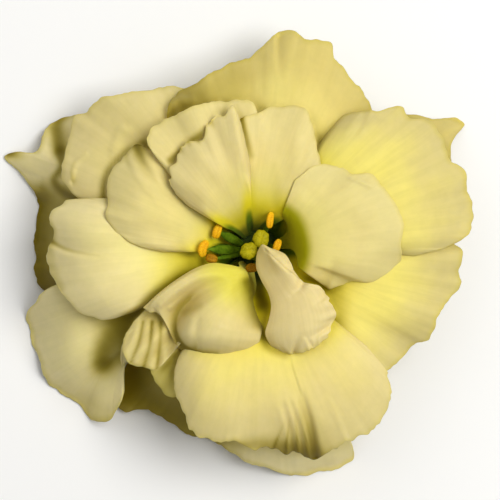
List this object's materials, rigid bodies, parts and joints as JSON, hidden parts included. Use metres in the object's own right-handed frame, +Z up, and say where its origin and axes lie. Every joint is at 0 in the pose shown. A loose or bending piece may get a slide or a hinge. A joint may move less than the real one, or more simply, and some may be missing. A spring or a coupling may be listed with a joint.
{
  "type": "lisianthus flower",
  "caption": "Open double lisianthus flower head, face up, with layered ruffled cream and yellow petals, golden anthers, green stigma, narrow sepals and a short stem stub.",
  "frame": {"origin": "middle of the bounding box's underside, on the surface that the flower rests on", "axes": "+Z up, the way the flower faces; +X to the right and +Y to the top of the bloom seen from straight above"},
  "size_m": [0.0842, 0.0804, 0.0313],
  "materials": {
    "outer_petal": "matte",
    "middle_petal": "matte",
    "inner_petal": "matte",
    "core_petal": "matte",
    "sepal": "satin",
    "pedicel": "satin",
    "pistil": "matte",
    "filament": "satin",
    "anther": "matte"
  },
  "bodies": {
    "root": {"outer_petal_right": "outer_petal", "outer_petal_top": "outer_petal", "outer_petal_left": "outer_petal", "outer_petal_lower_left": "outer_petal", "outer_petal_bottom": "outer_petal", "middle_petal_upper_right": "middle_petal", "middle_petal_upper_left": "middle_petal", "middle_petal_left": "middle_petal", "middle_petal_shaded": "middle_petal", "middle_petal_bottom": "middle_petal", "middle_petal_lower_right": "middle_petal", "inner_petal_right": "inner_petal", "inner_petal_top": "inner_petal", "inner_petal_behind_top": "inner_petal", "inner_petal_left": "inner_petal", "inner_petal_ridged": "inner_petal", "core_petal_frilled": "core_petal", "core_petal_curled": "core_petal", "core_petal_tongue": "core_petal", "sepal_1": "sepal", "sepal_2": "sepal", "sepal_3": "sepal", "sepal_4": "sepal", "sepal_5": "sepal", "pedicel": "pedicel", "pistil": "pistil", "filament_1": "filament", "filament_2": "filament", "filament_3": "filament", "filament_4": "filament", "filament_5": "filament", "filament_6": "filament", "anther_1": "anther", "anther_2": "anther", "anther_3": "anther", "anther_4": "anther", "anther_5": "anther", "anther_6": "anther"}
  },
  "joints": []
}
